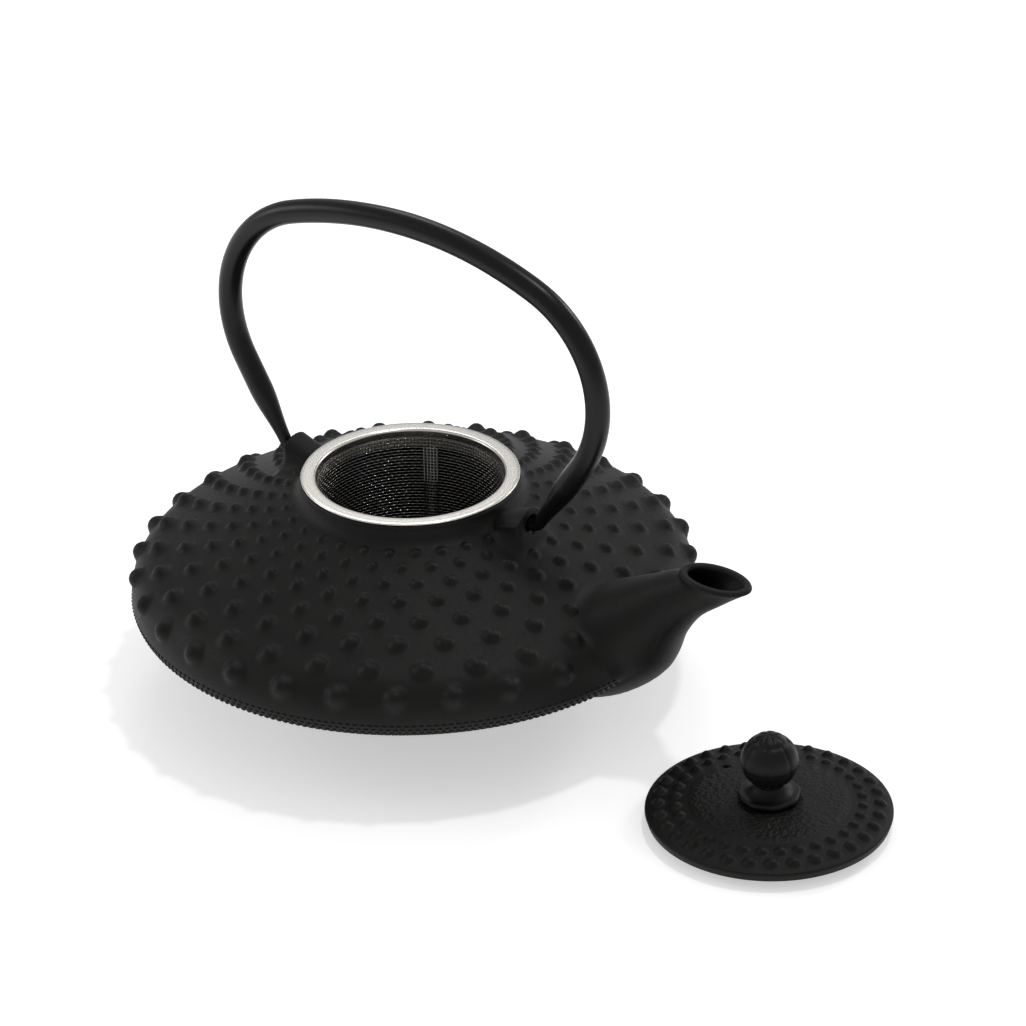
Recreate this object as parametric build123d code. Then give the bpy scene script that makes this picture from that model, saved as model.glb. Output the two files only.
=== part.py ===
from build123d import *
import os
from math import acos, asin, atan2, cos, degrees, hypot, radians, sin, sqrt, tan

# A low, lens-shaped cast-iron teapot: a bail handle hinged in two lugs, a stainless infuser
# hung in its mouth, and its lid lying on the table beside the spout.
# Millimetres. Origin: centre of the flat foot, on the table. +Z up, +X towards the spout.

# Pot casting
RIM_R = 95.5             # widest circle, where the two halves of the mould part
RIM_Z = 35.8             # height of that circle
SHOULDER_ARC = 14.5      # rounding above the rim
BELLY_ARC = 7.0          # rounding below the rim
DOME_ANGLE = 23.7        # slope of the upper cone, degrees
BASE_ANGLE = 28.5        # slope of the lower cone, degrees
NECK_R = 37.25           # outside of the short upright neck
NECK_TOP = 75.8          # the infuser's flange rests here
NECK_FILLET = 6.0        # hollow curve between neck and dome
FOOT_R = 41.0            # flat round foot
WALL = 3.6               # casting thickness
FLOOR = 4.2              # thickness under the tea

# Spout: each section is an ellipse standing on its lowest and highest point in the XZ plane,
# given as (low x, low z, high x, high z, half width)
SPOUT_SECTIONS = [
    (60.0, 14.6, 62.0, 53.0, 19.0),
    (75.0, 16.6, 72.0, 54.6, 21.5),
    (89.5, 22.1, 82.0, 59.6, 20.0),
    (102.5, 33.0, 90.5, 63.8, 15.5),
    (108.8, 47.0, 98.0, 67.6, 11.2),
    (116.0, 57.6, 103.6, 70.5, 8.6),
    (125.4, 65.2, 107.8, 72.2, 7.6),
    (136.2, 73.4, 109.6, 73.4, 8.0),
]
SPOUT_WALL_ROOT = 3.4
SPOUT_WALL_LIP = 2.5
SPOUT_OVERRUN = 1.5      # the channel's cut runs on this far above the lip

# Lugs and bail handle
HINGE_Z = 71.8           # height of the lug holes
LUG_FACE_X = 49.5        # outward face of a lug
LUG_ROOT_X = 36.0        # inside the neck wall
LUG_HALF_WIDTH = 7.0
LUG_TOP = 77.6           # top of the rounded face
LUG_ROOT_TOP = 73.2      # where its ridge runs into the neck
LUG_ROOT_DEPTH = 8.0     # height of its root
LUG_FOOT_Z = 63.4        # its underside, buried in the dome's wall
LUG_HOLE_R = 2.7
LUG_HOLE_DEPTH = 8.0
HOOK_R = 2.2             # thin end of the bail, turned into the lug
HOOK_TIP_R = 1.7         # its tip, inside the lug
LIMB_TAPER = 20.0        # the limb thins only over this last stretch
HOOK_BEND = 3.6          # radius of that turn
HOOK_REACH = 6.0         # how far it goes into the lug
HOOK_CLEAR = 0.6         # straight stretch between the lug and the turn
BAR_R = 4.05             # bail along its arch
ARCH_TOP = 167.8         # highest point of the bail's centre line
# The bail is bent by hand, so its two halves differ a little. For the spout side and the
# back: widest half-span, radius of the flat crown and radius of the corner
SPOUT_HALF = (76.6, 133.0, 39.5)
BACK_HALF = (74.4, 150.0, 41.0)

# Infuser
FLANGE_R = 36.8
FLANGE_BORE_R = 31.7
SHEET = 0.7              # stainless sheet
COLLAR_R = 32.5          # outside of the short collar under the flange
COLLAR_FOOT_Z = 70.0
MESH_TOP_R = 31.6
MESH_FOOT_R = 29.6
MESH_WALL = 0.6
MESH_TOP_Z = 73.6
INFUSER_FOOT_Z = 27.0
BASE_RING_HEIGHT = 4.5
BASE_RING_BORE_R = 25.5
ROLL_EXTRA = 0.1         # the flange's rolled edge is this much rounder than its sheet
MESH_SLACK = 0.3         # between the mesh and its base ring
BASE_RING_SHEET = 0.6

# Lid
LID_X = 152.8
LID_Y = -15.5
LID_R = 40.0
LID_THICK = 3.0
LID_EDGE_TOP = 6.5       # upper edge of the plate above the table
LID_CROWN = 3.4          # the plate rises this much to its flat middle
LID_FLAT_R = 11.5
LOCATING_R = 30.4        # ring that drops inside the infuser's bore
LOCATING_WALL = 2.6
VENT_R = 1.1
VENT_AT = (-22.2, 9.0)   # from the lid's centre
BALL_R = 9.35
BALL_Z = 23.7            # centre of the ball knob
BALL_NECK_R = 4.6
STEM_R = 2.4
STEM_PLAY = 0.1
ROSETTE_R = 10.4
ROSETTE_TOP_R = 6.4
ROSETTE_HEIGHT = 4.6
ROSETTE_LOBES = 8
ROSETTE_LOBE_R = 3.4     # each scallop's own radius
ROSETTE_EDGE = 1.6       # height of its edge
WASHER_R = 5.5
WASHER_THICK = 0.8
RIVET_HEAD_R = 4.0
RIVET_HEAD_THICK = 1.2
RIVET_HEAD_TAPER = 0.6
ABOVE_ALL = 60.0         # length of a cutter that passes right through


def on_arc(centre, radius, angle):
    """Point of a circle in the (r, z) half plane, at an angle in degrees above +r."""
    return (centre[0] + radius * cos(radians(angle)), centre[1] + radius * sin(radians(angle)))


def turned(edges):
    """Solid of revolution about Z from a closed outline drawn in (r, z)."""
    return revolve(Plane.XZ * make_face(Wire(edges)), Axis.Z)


def turned_polygon(*points):
    """Solid of revolution about Z from the corners of an outline in (r, z)."""
    return turned(list(Polyline(*points, close=True).edges()))


def lens(inset, bottom):
    """The pot's lens shape up to the top of its neck, drawn in by a wall thickness."""
    above = (RIM_R - SHOULDER_ARC, RIM_Z)
    below = (RIM_R - BELLY_ARC, RIM_Z)
    rim = (RIM_R - inset, RIM_Z)
    # the neck's fillet is tangent to the upper cone and to the neck
    dome_foot = on_arc(above, SHOULDER_ARC, 90 - DOME_ANGLE)
    fillet_r = NECK_R + NECK_FILLET
    rise = (dome_foot[0] - fillet_r) * tan(radians(DOME_ANGLE))
    fillet = (fillet_r, dome_foot[1] + rise + NECK_FILLET / cos(radians(DOME_ANGLE)))
    base_end = on_arc(below, BELLY_ARC - inset, BASE_ANGLE - 90)
    base_mid = on_arc(below, BELLY_ARC - inset, (BASE_ANGLE - 90) / 2)
    dome_mid = on_arc(above, SHOULDER_ARC - inset, (90 - DOME_ANGLE) / 2)
    dome_start = on_arc(above, SHOULDER_ARC - inset, 90 - DOME_ANGLE)
    dome_end = on_arc(fillet, NECK_FILLET + inset, 270 - DOME_ANGLE)
    neck_mid = on_arc(fillet, NECK_FILLET + inset, 225 - DOME_ANGLE / 2)
    neck_foot = on_arc(fillet, NECK_FILLET + inset, 180)
    foot_z = base_end[1] - (base_end[0] - FOOT_R) * tan(radians(BASE_ANGLE))
    edges = [
        Line((0, bottom), (FOOT_R, bottom)),
        Line((FOOT_R, bottom), (FOOT_R, foot_z)),
        Line((FOOT_R, foot_z), base_end),
        ThreePointArc(base_end, base_mid, rim),
        ThreePointArc(rim, dome_mid, dome_start),
        Line(dome_start, dome_end),
        ThreePointArc(dome_end, neck_mid, neck_foot),
        Line(neck_foot, (neck_foot[0], NECK_TOP)),
        Line((neck_foot[0], NECK_TOP), (0, NECK_TOP)),
        Line((0, NECK_TOP), (0, bottom)),
    ]
    return turned(edges)


def spout_face(section, wall):
    """One section of the spout, drawn in by a wall thickness."""
    low_x, low_z, high_x, high_z, half_width = section
    low = Vector(low_x, 0, low_z)
    high = Vector(high_x, 0, high_z)
    upright = (high - low).normalized()
    plane = Plane((low + high) * 0.5, x_dir=upright, z_dir=upright.cross(Vector(0, 1, 0)))
    return plane * Ellipse((high - low).length / 2 - wall, half_width - wall)


def spout_outside():
    return loft([spout_face(section, 0) for section in SPOUT_SECTIONS])


def spout_channel():
    """The pouring channel, straight from section to section, run on out of the lip."""
    last = len(SPOUT_SECTIONS) - 1
    faces = []
    for index, section in enumerate(SPOUT_SECTIONS):
        wall = SPOUT_WALL_ROOT + (SPOUT_WALL_LIP - SPOUT_WALL_ROOT) * index / last
        faces.append(spout_face(section, wall))
    faces.append(Pos(0, 0, SPOUT_OVERRUN) * faces[-1])
    return loft(faces, ruled=True)


def lug(side):
    """Lug on one side (+1 or -1): a round-topped block whose ridge runs down to the neck."""
    def outline(x, top, bottom):
        arch_z = top - LUG_HALF_WIDTH
        left, right = (-LUG_HALF_WIDTH, arch_z), (LUG_HALF_WIDTH, arch_z)
        base_left, base_right = (-LUG_HALF_WIDTH, bottom), (LUG_HALF_WIDTH, bottom)
        edges = [
            Line(base_left, base_right),
            Line(base_right, right),
            ThreePointArc(right, (0, top), left),
            Line(left, base_left),
        ]
        return Plane((x, 0, 0), x_dir=(0, 1, 0), z_dir=(1, 0, 0)) * make_face(Wire(edges))

    root = outline(LUG_ROOT_X, LUG_ROOT_TOP, LUG_ROOT_TOP - LUG_ROOT_DEPTH)
    block = loft([root, outline(LUG_FACE_X, LUG_TOP, LUG_FOOT_Z)])
    return block if side > 0 else mirror(block, Plane.YZ)


def pot_body():
    """The whole casting: lens, spout and lugs, hollowed, with a blind hole in each lug."""
    body = lens(0, 0) + spout_outside() + lug(1) + lug(-1)
    body -= lens(WALL, FLOOR)
    body -= spout_channel()
    hole = Rot(0, 90, 0) * Cylinder(LUG_HOLE_R, LUG_HOLE_DEPTH)
    for side in (1, -1):
        body -= Pos(side * (LUG_FACE_X - LUG_HOLE_DEPTH / 2), 0, HINGE_Z) * hole
    return body


def half_handle(half_span, crown_r, corner_r):
    """Half of the bail, from its crown to the hook in one lug, drawn on the +X side."""
    crown = (0, ARCH_TOP - crown_r)
    # the corner arc is tangent to the crown and touches the widest span
    lean = asin((half_span - corner_r) / (crown_r - corner_r))
    corner = (half_span - corner_r, crown[1] + (crown_r - corner_r) * cos(lean))
    crown_end = on_arc(corner, corner_r, 90 - degrees(lean))
    # the straight limb is tangent to the corner arc and to the hook's bend
    bend = (LUG_FACE_X + HOOK_CLEAR, HINGE_Z + HOOK_BEND)
    across = (bend[0] - corner[0], bend[1] - corner[1])
    normal = degrees(atan2(across[1], across[0]) + acos((corner_r - HOOK_BEND) / hypot(*across)))
    limb_top = on_arc(corner, corner_r, normal)
    limb_foot = on_arc(bend, HOOK_BEND, normal)
    hook_start = (bend[0], HINGE_Z)

    def swept(path, radius):
        path = Plane.XZ * path
        return sweep(Plane(path @ 0, z_dir=path % 0) * Circle(radius), path)

    arch = ThreePointArc((0, ARCH_TOP), on_arc(crown, crown_r, 90 - degrees(lean) / 2), crown_end)
    corner_arc = ThreePointArc(crown_end, on_arc(corner, corner_r, 10), limb_top)
    bend_arc = ThreePointArc(limb_foot, on_arc(bend, HOOK_BEND, (normal - 90) / 2), hook_start)
    bar = swept(arch, BAR_R) + swept(corner_arc, BAR_R)
    down = (Plane.XZ * Line(limb_top, limb_foot)) % 0
    top_plane = Plane((limb_top[0], 0, limb_top[1]), z_dir=down)
    foot_plane = Plane((limb_foot[0], 0, limb_foot[1]), z_dir=down)
    limb_length = hypot(limb_top[0] - limb_foot[0], limb_top[1] - limb_foot[1])
    thick = limb_length - LIMB_TAPER
    limb = extrude(top_plane * Circle(BAR_R), amount=thick)
    limb += loft([top_plane.offset(thick) * Circle(BAR_R), foot_plane * Circle(HOOK_R)])
    mouth = Plane((bend[0], 0, HINGE_Z), z_dir=(-1, 0, 0))
    tip = loft([mouth * Circle(HOOK_R), mouth.offset(HOOK_CLEAR + HOOK_REACH) * Circle(HOOK_TIP_R)])
    return bar + limb + swept(bend_arc, HOOK_R) + tip


def handle():
    return half_handle(*SPOUT_HALF) + mirror(half_handle(*BACK_HALF), Plane.YZ)


def infuser_rim():
    """Flat flange whose inner edge rolls down into a short collar."""
    flange_top = NECK_TOP + SHEET
    roll = SHEET + ROLL_EXTRA
    roll_centre = (FLANGE_BORE_R + roll, flange_top - roll)
    bore_start = (FLANGE_BORE_R, flange_top - roll)
    bore_end = (FLANGE_BORE_R, COLLAR_FOOT_Z)
    edges = [
        Line((FLANGE_R, NECK_TOP), (FLANGE_R, flange_top)),
        Line((FLANGE_R, flange_top), (roll_centre[0], flange_top)),
        ThreePointArc((roll_centre[0], flange_top), on_arc(roll_centre, roll, 135), bore_start),
        Line(bore_start, bore_end),
        Line(bore_end, (COLLAR_R, COLLAR_FOOT_Z)),
        Line((COLLAR_R, COLLAR_FOOT_Z), (COLLAR_R, NECK_TOP)),
        Line((COLLAR_R, NECK_TOP), (FLANGE_R, NECK_TOP)),
    ]
    return turned(edges)


def infuser_mesh():
    """Woven wall, drawn as a thin tapered tube that tucks up inside the collar."""
    foot_z = INFUSER_FOOT_Z + 2 * MESH_WALL
    return turned_polygon(
        (MESH_FOOT_R - MESH_WALL, foot_z),
        (MESH_FOOT_R, foot_z),
        (MESH_TOP_R, MESH_TOP_Z),
        (MESH_TOP_R - MESH_WALL, MESH_TOP_Z),
    )


def infuser_base_ring():
    """Pressed ring crimped round the mesh's foot, with a lip that carries the base mesh."""
    inside = MESH_FOOT_R + MESH_SLACK
    outside = inside + BASE_RING_SHEET
    top = INFUSER_FOOT_Z + BASE_RING_HEIGHT
    lip = INFUSER_FOOT_Z + MESH_WALL
    return turned_polygon(
        (BASE_RING_BORE_R, INFUSER_FOOT_Z),
        (outside, INFUSER_FOOT_Z),
        (outside, top),
        (inside, top),
        (inside, lip),
        (BASE_RING_BORE_R, lip),
    )


def infuser_base_mesh():
    disc = Cylinder(MESH_FOOT_R, MESH_WALL, align=(Align.CENTER, Align.CENTER, Align.MIN))
    return Pos(0, 0, INFUSER_FOOT_Z + MESH_WALL) * disc


def crowned_plate(edge_top):
    """Lid plate: flat in the middle, then two parallel shallow arcs down to its edge."""
    edge_low = edge_top - LID_THICK
    top = edge_top + LID_CROWN
    low = edge_low + LID_CROWN
    mid = (LID_FLAT_R + LID_R) / 2
    edges = [
        Line((0, top), (LID_FLAT_R, top)),
        ThreePointArc((LID_FLAT_R, top), (mid, edge_top + 0.75 * LID_CROWN), (LID_R, edge_top)),
        Line((LID_R, edge_top), (LID_R, edge_low)),
        ThreePointArc((LID_R, edge_low), (mid, edge_low + 0.75 * LID_CROWN), (LID_FLAT_R, low)),
        Line((LID_FLAT_R, low), (0, low)),
        Line((0, low), (0, top)),
    ]
    return turned(edges)


def lid_plate():
    plate = crowned_plate(LID_EDGE_TOP)
    ring_top = LID_EDGE_TOP
    inside = LOCATING_R - LOCATING_WALL
    plate += turned_polygon((inside, 0), (LOCATING_R, 0), (LOCATING_R, ring_top), (inside, ring_top))
    plate -= Cylinder(STEM_R + STEM_PLAY, ABOVE_ALL)
    plate -= Pos(*VENT_AT, 0) * Cylinder(VENT_R, ABOVE_ALL)
    return plate


def seat_z():
    """Height of the flat spot at the middle of the plate."""
    return LID_EDGE_TOP + LID_CROWN


def knob_rosette():
    """Flared collar with a scalloped edge, between the plate and the ball."""
    edge_r = ROSETTE_R - ROSETTE_EDGE
    hub = turned_polygon(
        (0, seat_z()),
        (edge_r, seat_z()),
        (edge_r, seat_z() + ROSETTE_EDGE),
        (ROSETTE_TOP_R, seat_z() + ROSETTE_HEIGHT),
        (0, seat_z() + ROSETTE_HEIGHT),
    )
    standing = (Align.CENTER, Align.CENTER, Align.MIN)
    scallop = Cylinder(ROSETTE_LOBE_R, ROSETTE_EDGE, align=standing)
    for index in range(ROSETTE_LOBES):
        turned_by = Rot(0, 0, 360 / ROSETTE_LOBES * index)
        hub += turned_by * Pos(ROSETTE_R - ROSETTE_LOBE_R, 0, seat_z()) * scallop
    hub -= Cylinder(STEM_R + STEM_PLAY, ABOVE_ALL)
    return hub


def lid_knob():
    """Ball, its short neck, the stem through the plate and the peened end below."""
    plate_under = LID_EDGE_TOP + LID_CROWN - LID_THICK
    washer_under = plate_under - WASHER_THICK
    neck_z = seat_z() + ROSETTE_HEIGHT
    ball_bottom = BALL_Z - sqrt(BALL_R**2 - BALL_NECK_R**2)
    peen_low = washer_under - RIVET_HEAD_THICK
    peen_r = RIVET_HEAD_R - RIVET_HEAD_TAPER
    edges = [
        Line((0, peen_low), (peen_r, peen_low)),
        Line((peen_r, peen_low), (RIVET_HEAD_R, washer_under)),
        Line((RIVET_HEAD_R, washer_under), (STEM_R, washer_under)),
        Line((STEM_R, washer_under), (STEM_R, neck_z)),
        Line((STEM_R, neck_z), (BALL_NECK_R, neck_z)),
        Line((BALL_NECK_R, neck_z), (BALL_NECK_R, ball_bottom)),
        ThreePointArc((BALL_NECK_R, ball_bottom), (BALL_R, BALL_Z), (0, BALL_Z + BALL_R)),
        Line((0, BALL_Z + BALL_R), (0, peen_low)),
    ]
    return turned(edges)


def knob_washer():
    plate_under = LID_EDGE_TOP + LID_CROWN - LID_THICK
    low = plate_under - WASHER_THICK
    hole_r = STEM_R + STEM_PLAY
    return turned_polygon((hole_r, low), (WASHER_R, low), (WASHER_R, plate_under), (hole_r, plate_under))


def main():
    parts = {
        "pot_body": pot_body(),
        "handle": handle(),
        "infuser_rim": infuser_rim(),
        "infuser_mesh": infuser_mesh(),
        "infuser_base_ring": infuser_base_ring(),
        "infuser_base_mesh": infuser_base_mesh(),
    }
    on_table = Pos(LID_X, LID_Y, 0)
    parts["lid_plate"] = on_table * lid_plate()
    parts["knob_rosette"] = on_table * knob_rosette()
    parts["lid_knob"] = on_table * lid_knob()
    parts["knob_washer"] = on_table * knob_washer()
    os.makedirs("parts", exist_ok=True)
    for name, shape in parts.items():
        export_step(shape, f"parts/{name}.step")


main()
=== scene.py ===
"""A low cast-iron teapot with a studded dome, a bail handle, a stainless infuser and its lid.

Sizes are millimetres until a piece is finished, when its mesh becomes metres in the part's frame:
origin at the centre of the foot on the table, +Z up, +X towards the spout.
"""

from math import acos, asin, atan2, ceil, cos, exp, hypot, log, pi, radians, sin, sqrt, tan

import bmesh
import bpy
from mathutils import Matrix, Vector


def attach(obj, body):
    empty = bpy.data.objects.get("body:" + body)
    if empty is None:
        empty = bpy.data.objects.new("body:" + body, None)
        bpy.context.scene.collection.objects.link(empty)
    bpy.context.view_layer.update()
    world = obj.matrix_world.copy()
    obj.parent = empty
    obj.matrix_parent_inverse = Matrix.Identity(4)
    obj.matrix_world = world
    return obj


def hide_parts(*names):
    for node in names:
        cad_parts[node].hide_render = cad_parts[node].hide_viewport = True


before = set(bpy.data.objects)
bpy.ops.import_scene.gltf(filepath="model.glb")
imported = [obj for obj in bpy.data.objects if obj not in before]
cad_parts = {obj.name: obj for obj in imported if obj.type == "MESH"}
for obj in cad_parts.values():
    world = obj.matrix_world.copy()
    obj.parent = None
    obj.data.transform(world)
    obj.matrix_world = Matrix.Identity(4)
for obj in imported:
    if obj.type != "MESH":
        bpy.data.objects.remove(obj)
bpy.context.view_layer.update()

MM = 0.001
SEAM_DIST = 0.001  # verts nearer than this in millimetres are one
UPRIGHT_AXIS = {"cent": (0, 0, 0), "axis": (0, 0, 1)}

# Pot casting, as in the CAD part
RIM_R = 95.5
RIM_Z = 35.8
SHOULDER_ARC = 14.5
BELLY_ARC = 7.0
DOME_ANGLE = radians(23.7)
BASE_ANGLE = radians(28.5)
NECK_R = 37.25
NECK_TOP = 75.8
NECK_FILLET = 6.0
FOOT_R = 41.0
WALL = 3.6
FLOOR = 4.2
NECK_EDGE = 0.9  # rounding of the neck's upper edge
FOOT_EDGE = 0.8

# Studs on the dome, in rings that grow outwards by the same ratio
STUDS_PER_RING = 31
STUD_RINGS = 8
FIRST_RING_R = 42.3
RING_GROWTH = 1.125
LAST_RING_PULL = 1.7  # the outermost ring sits this much nearer its neighbour
STUD_PHASE = radians(1.1)
STUD_BASE = 0.046  # base radius as a share of the ring's radius
STUD_HEIGHT = 0.0285  # height as a share of the ring's radius
STUD_CROWN = 2.7  # power that keeps a stud's top round
STUD_SKIRT = 1.9  # power that runs its base out softly
FACETS_PER_STUD = 18
ROW_STRETCH = 1.05  # rows of the dome's mesh, against its facets around
SPOUT_BARE = (75.0, 20.0, 5)  # no studs past this x and within this y, from this ring on
LUG_BARE = (3.5, 2.4)  # bare skin in front of a lug and beside it

# Spout sections: lowest x, z and highest x, z of an upright ellipse, and its half width
SPOUT_SECTIONS = [
    (60.0, 14.6, 62.0, 53.0, 19.0),
    (75.0, 16.6, 72.0, 54.6, 21.5),
    (89.5, 22.1, 82.0, 59.6, 20.0),
    (102.5, 33.0, 90.5, 63.8, 15.5),
    (108.8, 47.0, 98.0, 67.6, 11.2),
    (116.0, 57.6, 103.6, 70.5, 8.6),
    (125.4, 65.2, 107.8, 72.2, 7.6),
    (136.2, 73.4, 109.6, 73.4, 8.0),
]
SPOUT_WALL = 2.5
SPOUT_ROOT_WALL = 3.4
SPOUT_FILLET = 4.2
SKIRT_RUN = 0.6  # the skirt runs on this far past its fillet
SKIRT_SINK = 1.2  # and ends this deep in the dome's wall
SKIRT_DIP = 0.12
LIP_SHARE = 0.965  # the wall ends here and is rounded over into a thick lip
LIP_SWELL = 0.45
LIP_LENGTH = 0.07  # share of the spout along which the lip swells
LIP_ROUNDNESS = 0.9
SPOUT_FACETS = 72
SPOUT_RINGS = 26
CHANNEL_SHARE = 0.6  # the bowl's wall is cut open inside this share of the spout
CHANNEL_INSET = 3.7

# Lugs and bail
HINGE_Z = 71.8
LUG_FACE_X = 49.5
LUG_CENTRE_X = 43.0
LUG_ROOT_X = 35.4
LUG_HALF_WIDTH = 6.9
LUG_TOP = 77.6
LUG_ROOT_TOP = 73.2
LUG_FOOT_Z = 66.0  # its underside, inside the dome's wall
LUG_RIDGE_START = 2.0  # its back begins to rise this far from its root
LUG_ARCH = 0.9
LUG_SQUARENESS = 8.0  # power of its oblong plan
LUG_EDGE = 0.9
LUG_FILLET = 6.0
LUG_FACETS = 96
LUG_HOLE_R = 2.7
LUG_HOLE_DEPTH = 8.0
HOOK_R = 2.2  # thin end of the bail
HOOK_TIP_R = 1.7
HOOK_BEND = 3.6
HOOK_REACH = 6.0
HOOK_CLEAR = 0.6
LIMB_TAPER = 20.0
BAR_R = 4.05
BAR_FACETS = 32
BAR_UNEVEN = 0.012  # share of its radius by which the forged bar is out of round
BAR_TIP_EDGE = 0.4
ARCH_TOP = 167.8
SPOUT_HALF = (76.6, 133.0, 39.5)  # half span, radius of the crown, radius of the corner
BACK_HALF = (74.4, 150.0, 41.0)

# Infuser
FLANGE_R = 36.8
FLANGE_BORE_R = 31.7
SHEET = 0.7
COLLAR_FOOT_Z = 70.0
MESH_TOP_R = 31.3
MESH_FOOT_R = 29.3
MESH_TOP_Z = 73.4
MESH_FOOT_Z = 28.4
BASE_Z = 28.0
WEFT_PITCH = 1.12  # level wires; a little coarser than fine tea mesh, so that they show
WARPS = 168  # upright wires, as far apart at the foot
WIRE_R = 0.15
WIRE_SIDES = 5
WIRE_SWING = 0.9  # how far a wire passes in and out, as a share of its radius
SEAM_ANGLE = radians(110)
SEAM_WARPS = 5  # the wall laps over itself by this many wires
SEAM_LAP = 3.4  # depth of the second layer in wire radii
BASE_GAP = 0.4  # between the base weave and the wall

# Lid
LID_PLACE = (152.8, -15.5, 0)
LID_R = 40.0
LID_THICK = 3.0
LID_EDGE = 0.9  # rounding of its upper edge
LID_ROWS = 90
LID_EDGE_TOP = 6.5
LID_CROWN = 3.4
LID_FLAT_R = 11.5
LOCATING_R = 30.4
LOCATING_WALL = 2.6
VENT_R = 1.1
VENT_AT = (-22.2, 9.0)
LID_STUDS = 32
FACETS_PER_LID_STUD = 14
LID_RINGS = [(35.7, 2.5, 1.75, 0.0), (30.2, 2.15, 1.45, 0.5)]  # radius, base, height, offset
PEBBLED_R = 26.5
PEBBLED_FADE = 2.5
PEBBLE_SIZE = 1.5
BALL_R = 9.35
BALL_Z = 23.7
BALL_NECK_R = 4.6
ROSETTE_R = 10.4
ROSETTE_TOP_R = 6.4
ROSETTE_HEIGHT = 4.6
ROSETTE_LOBES = 8
KNOB_GROOVES = 7
GROOVE_AT = radians(-63)
GROOVE_DEPTH = 0.45
GROOVE_HALF = 0.55  # half its width
MOULD_LINE = -0.8  # from the ball's middle
MOULD_STEP = 0.14
BLOSSOM_R = 5.4
BLOSSOM_PETALS = 8
PETAL_HEIGHT = 0.42
BLOSSOM_RIM = (0.4, 0.09)  # depth of the ring round it, and its width as a share

# Raised dashes below the rim, cast on
DASHES_AROUND = 250
DASH_START = 1.3  # the first row, down the slope from the rim
DASH_ROW = 1.7  # from row to row at the rim; it shrinks with the radius
DASH_ROWS = 26
DASH_HALF = (0.95, 0.5, 0.42)  # half length, half width and height at the rim


# --- shaping -------------------------------------------------------------------------------


def arc(centre, radius, start, end, steps):
    """Points of a circle in the (r, z) half plane, from one angle to another."""
    return [
        (centre[0] + radius * cos(start + (end - start) * i / steps),
         centre[1] + radius * sin(start + (end - start) * i / steps))
        for i in range(steps + 1)
    ]


def run(start, end, steps):
    """Points between two ends, without the first."""
    return [
        (start[0] + (end[0] - start[0]) * i / steps, start[1] + (end[1] - start[1]) * i / steps)
        for i in range(1, steps + 1)
    ]


def turn(bm, outline, sectors, facets):
    """Spins an outline drawn in (r, z) about Z: one sector first, then copies all the way round."""
    verts = [bm.verts.new((r, 0, z)) for r, z in outline]
    edges = [bm.edges.new(pair) for pair in zip(verts, verts[1:])]
    spin_round(bm, verts + edges, sectors, facets)


def spin_round(bm, drawn, sectors, facets):
    """Spins drawn verts and edges through one sector, then copies that sector round the axis."""
    older = set(bm.verts) - set(drawn)
    bmesh.ops.spin(bm, geom=drawn, angle=2 * pi / sectors, steps=facets, **UPRIGHT_AXIS)
    verts = [vert for vert in bm.verts if vert not in older]
    edges = edges_at(verts)
    faces = list(dict.fromkeys(face for edge in edges for face in edge.link_faces))
    repeat_round(bm, verts + edges + faces, sectors)
    bmesh.ops.remove_doubles(bm, verts=bm.verts, dist=SEAM_DIST)


def repeat_round(bm, shape, count):
    """Copies a shape round Z until there are count of it."""
    bmesh.ops.spin(
        bm, geom=shape, angle=2 * pi * (count - 1) / count, steps=count - 1, use_duplicate=True,
        **UPRIGHT_AXIS,
    )


def everything(bm):
    """All that a mesh holds so far."""
    return bm.verts[:] + bm.edges[:] + bm.faces[:]


def edges_at(verts):
    """The edges that meet at some verts, each once and always in the same order."""
    return list(dict.fromkeys(edge for vert in verts for edge in vert.link_edges))


def verts_of(made):
    """The verts among what an operator made."""
    return [item for item in made if isinstance(item, bmesh.types.BMVert)]


def move(bm, verts, way):
    """Shifts verts by x, y and z."""
    bmesh.ops.translate(bm, vec=way, verts=verts)


def rotate(bm, verts, angle, axis):
    """Turns verts about an axis through the origin."""
    bmesh.ops.rotate(bm, cent=(0, 0, 0), matrix=Matrix.Rotation(angle, 3, axis), verts=verts)


def cap_ends(bm):
    """Closes a tube's open ends and gives the new faces."""
    rims = [edge for edge in bm.edges if edge.is_boundary]
    return bmesh.ops.holes_fill(bm, edges=rims, sides=0)["faces"]


def drape(bm, across, along, place):
    """Maps a grid to a surface: place(u, v) gives a point for u, v from 0 to 1.

    Its edges are merged where they meet.
    """
    made = bmesh.ops.create_grid(bm, x_segments=across, y_segments=along, size=0.5)
    for vert in made["verts"]:
        vert.co = place(vert.co.x + 0.5, vert.co.y + 0.5)
    bmesh.ops.remove_doubles(bm, verts=made["verts"], dist=SEAM_DIST)


def finish_piece(bm, name, body, materials, crease=40):
    """Makes the object in metres, with outward faces, smooth but for its sharp edges."""
    bmesh.ops.recalc_face_normals(bm, faces=bm.faces)
    bmesh.ops.scale(bm, vec=(MM, MM, MM), verts=bm.verts)
    return wrap(bm, name, body, materials, crease)


def solid(bm, name, materials=None):
    """A closed mesh still in millimetres, to be joined to a casting or cut out of it."""
    bmesh.ops.recalc_face_normals(bm, faces=bm.faces)
    return wrap(bm, name, None, materials or [IRON])


def wrap(bm, name, body, materials, crease=40):
    """Makes the object of a mesh; edges sharper than the crease, in degrees, stay sharp."""
    for face in bm.faces:
        face.smooth = True
    for edge in bm.edges:
        if len(edge.link_faces) == 2 and edge.calc_face_angle() > radians(crease):
            edge.smooth = False
    mesh = bpy.data.meshes.new(name)
    bm.to_mesh(mesh)
    bm.free()
    for material in materials:
        mesh.materials.append(material)
    piece = bpy.data.objects.new(name, mesh)
    bpy.context.scene.collection.objects.link(piece)
    if body:
        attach(piece, body)
    return piece


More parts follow.
